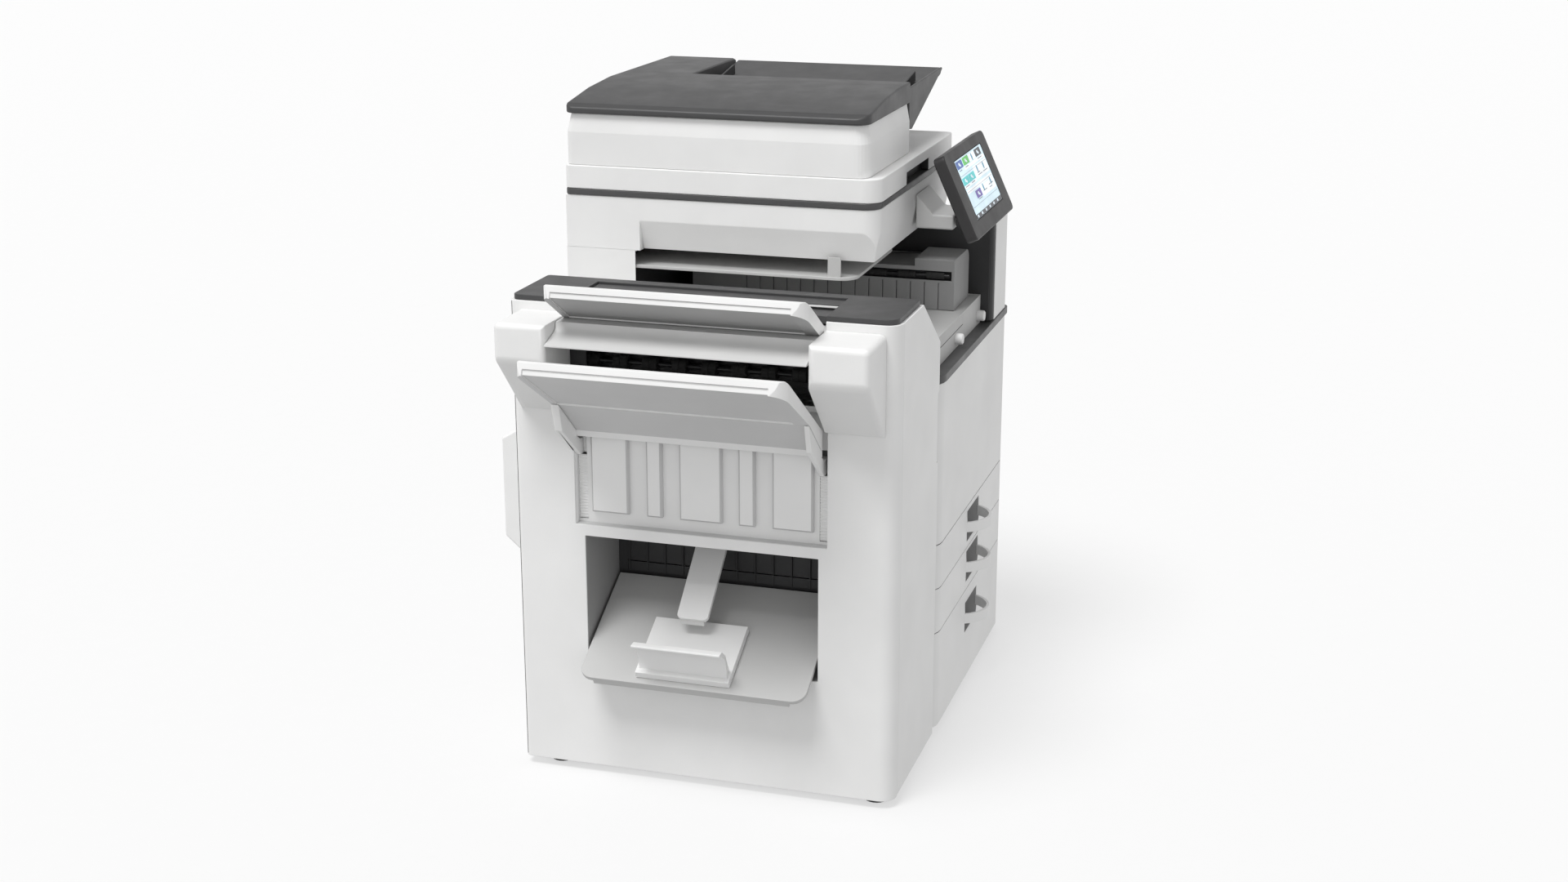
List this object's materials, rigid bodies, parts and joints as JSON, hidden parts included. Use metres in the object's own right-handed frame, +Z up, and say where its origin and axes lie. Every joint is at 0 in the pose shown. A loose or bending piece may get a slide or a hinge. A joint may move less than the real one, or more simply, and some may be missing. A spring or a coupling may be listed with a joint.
{
  "type": "photocopier",
  "caption": "Floor-standing colour photocopier with document feeder, touch panel, paper drawers, in-body paper exit and a booklet finisher with stacking trays.",
  "frame": {"origin": "on the floor under the middle of the whole machine's bounding box", "axes": "+Z up, +Y to the rear, +X from the finisher to the copier; the front covers face -Y"},
  "size_m": [1.1376, 0.758, 1.173],
  "materials": {
    "white_plastic": "fine-textured moulded covers",
    "grey_plastic": "fine-textured moulded inner parts",
    "dark_plastic": "fine-textured dark grey covers",
    "black_plastic": "satin black rollers and inner parts",
    "black_steel": "black painted chassis with pads",
    "platen_glass": "clear polished",
    "display": "glossy lit display"
  },
  "bodies": {
    "main": {"finisher_shell": "white_plastic", "finisher_base": "black_steel", "finisher_rear_cover": "white_plastic", "stack_fence": "white_plastic", "top_cover": "dark_plastic", "shoulder_front": "white_plastic", "shoulder_rear": "white_plastic", "exit_guide": "white_plastic", "proof_tray": "white_plastic", "booklet_tray": "white_plastic", "booklet_bay": "grey_plastic", "copier_shell": "white_plastic", "copier_base": "black_steel", "trim_band": "dark_plastic", "tower_cover": "white_plastic", "bay_liner": "dark_plastic", "column_cover": "white_plastic", "scanner_body": "white_plastic", "platen_frame": "dark_plastic", "exposure_glass": "platen_glass", "exit_unit": "white_plastic", "inner_tray": "white_plastic", "bridge_base": "white_plastic", "panel_arm": "white_plastic", "power_inlet": "black_plastic", "inner_panel": "grey_plastic", "toner_cartridge_1": "black_plastic", "toner_cartridge_2": "black_plastic", "toner_cartridge_3": "black_plastic", "toner_cartridge_4": "black_plastic"},
    "finisher_door": {"finisher_door": "white_plastic"},
    "eject_roller": {"eject_roller": "black_plastic"},
    "shift_tray": {"shift_tray": "white_plastic", "tray_carriage": "grey_plastic"},
    "booklet_stopper": {"booklet_stopper": "white_plastic"},
    "press_arm": {"press_arm": "white_plastic"},
    "stapler": {"stapler": "grey_plastic"},
    "front_door": {"front_door": "white_plastic"},
    "drawer_1": {"drawer_1_front": "white_plastic", "drawer_1_tray": "grey_plastic"},
    "drawer_2": {"drawer_2_front": "white_plastic", "drawer_2_tray": "grey_plastic"},
    "drawer_3": {"drawer_3_front": "white_plastic", "drawer_3_tray": "grey_plastic"},
    "bridge_lid": {"bridge_lid": "white_plastic"},
    "bridge_knob_left": {"bridge_knob_left": "white_plastic"},
    "bridge_knob_right": {"bridge_knob_right": "white_plastic"},
    "exit_roller": {"exit_roller": "black_plastic"},
    "scan_carriage": {"scan_carriage": "black_plastic"},
    "document_feeder": {"platen_cover": "white_plastic", "feeder_body": "white_plastic"},
    "feeder_cover": {"feeder_cover": "dark_plastic"},
    "document_tray": {"document_tray": "dark_plastic"},
    "document_guide_front": {"document_guide_front": "black_plastic"},
    "document_guide_rear": {"document_guide_rear": "black_plastic"},
    "pickup_roller": {"pickup_roller": "black_plastic"},
    "panel": {"panel_housing": "dark_plastic", "panel_screen": "display"},
    "bypass_tray": {"bypass_tray": "white_plastic"},
    "power_switch": {"power_switch": "black_plastic"}
  },
  "joints": [
    {"name": "finisher_door_hinge", "type": "hinge", "parent": "main", "child": "finisher_door", "pos_m": [-0.31635, -0.343, 0.435], "axis": [0, 0, -1], "range_deg": [0, 110]},
    {"name": "eject_roller_spin", "type": "hinge", "parent": "main", "child": "eject_roller", "pos_m": [-0.31325, 0.0195, 0.757], "axis": [0, 1, 0], "continuous": true},
    {"name": "shift_tray_lift", "type": "slide", "parent": "main", "child": "shift_tray", "axis": [0, 0, -1], "range_m": [0, 0.115]},
    {"name": "booklet_stopper_slide", "type": "slide", "parent": "main", "child": "booklet_stopper", "axis": [-0.8788, 0, -0.4772], "range_m": [-0.055, 0]},
    {"name": "press_arm_hinge", "type": "hinge", "parent": "main", "child": "press_arm", "pos_m": [-0.20725, 0.0235, 0.421], "axis": [0, 1, 0], "range_deg": [0, 25]},
    {"name": "stapler_slide", "type": "slide", "parent": "main", "child": "stapler", "axis": [0, 1, 0], "range_m": [-0.2, 0.2]},
    {"name": "front_door_hinge", "type": "hinge", "parent": "main", "child": "front_door", "pos_m": [0.55375, -0.2978, 0.525], "axis": [0, 0, 1], "range_deg": [0, 100]},
    {"name": "drawer_1_slide", "type": "slide", "parent": "main", "child": "drawer_1", "axis": [0, -1, 0], "range_m": [0, 0.45]},
    {"name": "drawer_2_slide", "type": "slide", "parent": "main", "child": "drawer_2", "axis": [0, -1, 0], "range_m": [0, 0.45]},
    {"name": "drawer_3_slide", "type": "slide", "parent": "main", "child": "drawer_3", "axis": [0, -1, 0], "range_m": [0, 0.45]},
    {"name": "bridge_lid_hinge", "type": "hinge", "parent": "main", "child": "bridge_lid", "pos_m": [0.09775, 0.202, 0.7273], "axis": [-1, 0, 0], "range_deg": [0, 15]},
    {"name": "bridge_knob_left_turn", "type": "hinge", "parent": "main", "child": "bridge_knob_left", "pos_m": [0.18075, -0.0665, 0.713], "axis": [0, 1, 0], "continuous": true},
    {"name": "bridge_knob_right_turn", "type": "hinge", "parent": "main", "child": "bridge_knob_right", "pos_m": [0.37475, -0.0665, 0.713], "axis": [0, 1, 0], "continuous": true},
    {"name": "exit_roller_spin", "type": "hinge", "parent": "main", "child": "exit_roller", "pos_m": [0.24525, -0.043, 0.8155], "axis": [0, 1, 0], "continuous": true},
    {"name": "scan_carriage_slide", "type": "slide", "parent": "main", "child": "scan_carriage", "axis": [1, 0, 0], "range_m": [0, 0.44]},
    {"name": "document_feeder_hinge", "type": "hinge", "parent": "main", "child": "document_feeder", "pos_m": [0.25275, 0.3595, 0.999], "axis": [-1, 0, 0], "range_deg": [0, 70]},
    {"name": "feeder_cover_hinge", "type": "hinge", "parent": "document_feeder", "child": "feeder_cover", "pos_m": [-0.04325, 0.067, 1.1343], "axis": [0, -1, 0], "range_deg": [0, 60]},
    {"name": "document_tray_hinge", "type": "hinge", "parent": "document_feeder", "child": "document_tray", "pos_m": [0.26625, 0.007, 1.1615], "axis": [0, -1, 0], "range_deg": [0, 15]},
    {"name": "document_guide_front_slide", "type": "slide", "parent": "document_tray", "child": "document_guide_front", "axis": [0, 1, 0], "range_m": [0, 0.13]},
    {"name": "document_guide_rear_slide", "type": "slide", "parent": "document_tray", "child": "document_guide_rear", "axis": [0, -1, 0], "range_m": [0, 0.13]},
    {"name": "pickup_roller_spin", "type": "hinge", "parent": "document_feeder", "child": "pickup_roller", "pos_m": [0.21775, 0.062, 1.107], "axis": [0, 1, 0], "continuous": true},
    {"name": "panel_tilt", "type": "hinge", "parent": "main", "child": "panel", "pos_m": [0.29475, -0.315, 0.92], "axis": [-1, 0, 0], "range_deg": [-15, 20]},
    {"name": "bypass_tray_hinge", "type": "hinge", "parent": "main", "child": "bypass_tray", "pos_m": [0.55825, 0.032, 0.4165], "axis": [0, 1, 0], "range_deg": [0, 65]},
    {"name": "power_switch_rock", "type": "hinge", "parent": "main", "child": "power_switch", "pos_m": [0.50275, -0.288, 0.615], "axis": [1, 0, 0], "range_deg": [0, 8]}
  ],
  "couplings": [
    {"joint": "document_guide_rear_slide", "follows": "document_guide_front_slide", "ratio": 1}
  ]
}
